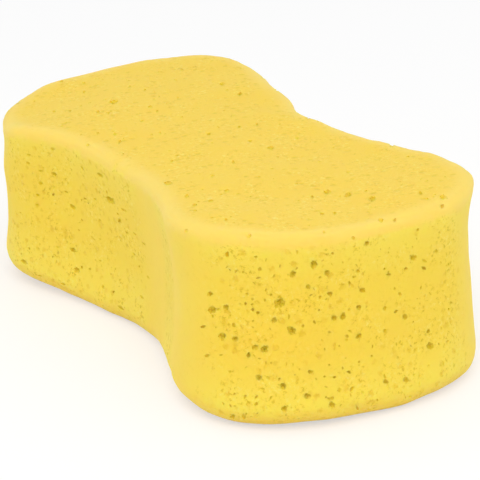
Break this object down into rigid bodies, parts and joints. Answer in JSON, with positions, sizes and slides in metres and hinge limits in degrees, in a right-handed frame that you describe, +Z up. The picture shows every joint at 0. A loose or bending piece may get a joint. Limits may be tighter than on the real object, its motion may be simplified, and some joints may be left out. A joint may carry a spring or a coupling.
{
  "type": "cleaning sponge",
  "caption": "Bone-shaped block of soft open-cell foam with a narrow waist for the hand, for washing and wiping by hand.",
  "frame": {"origin": "middle of the flat face that the sponge rests on", "axes": "+X along the sponge's length, +Y across its lobes, +Z up through its thickness"},
  "size_m": [0.2, 0.1, 0.061],
  "materials": {
    "foam": "dry, matt, open-celled yellow foam"
  },
  "bodies": {
    "root": {"foam_body": "foam"}
  },
  "joints": []
}
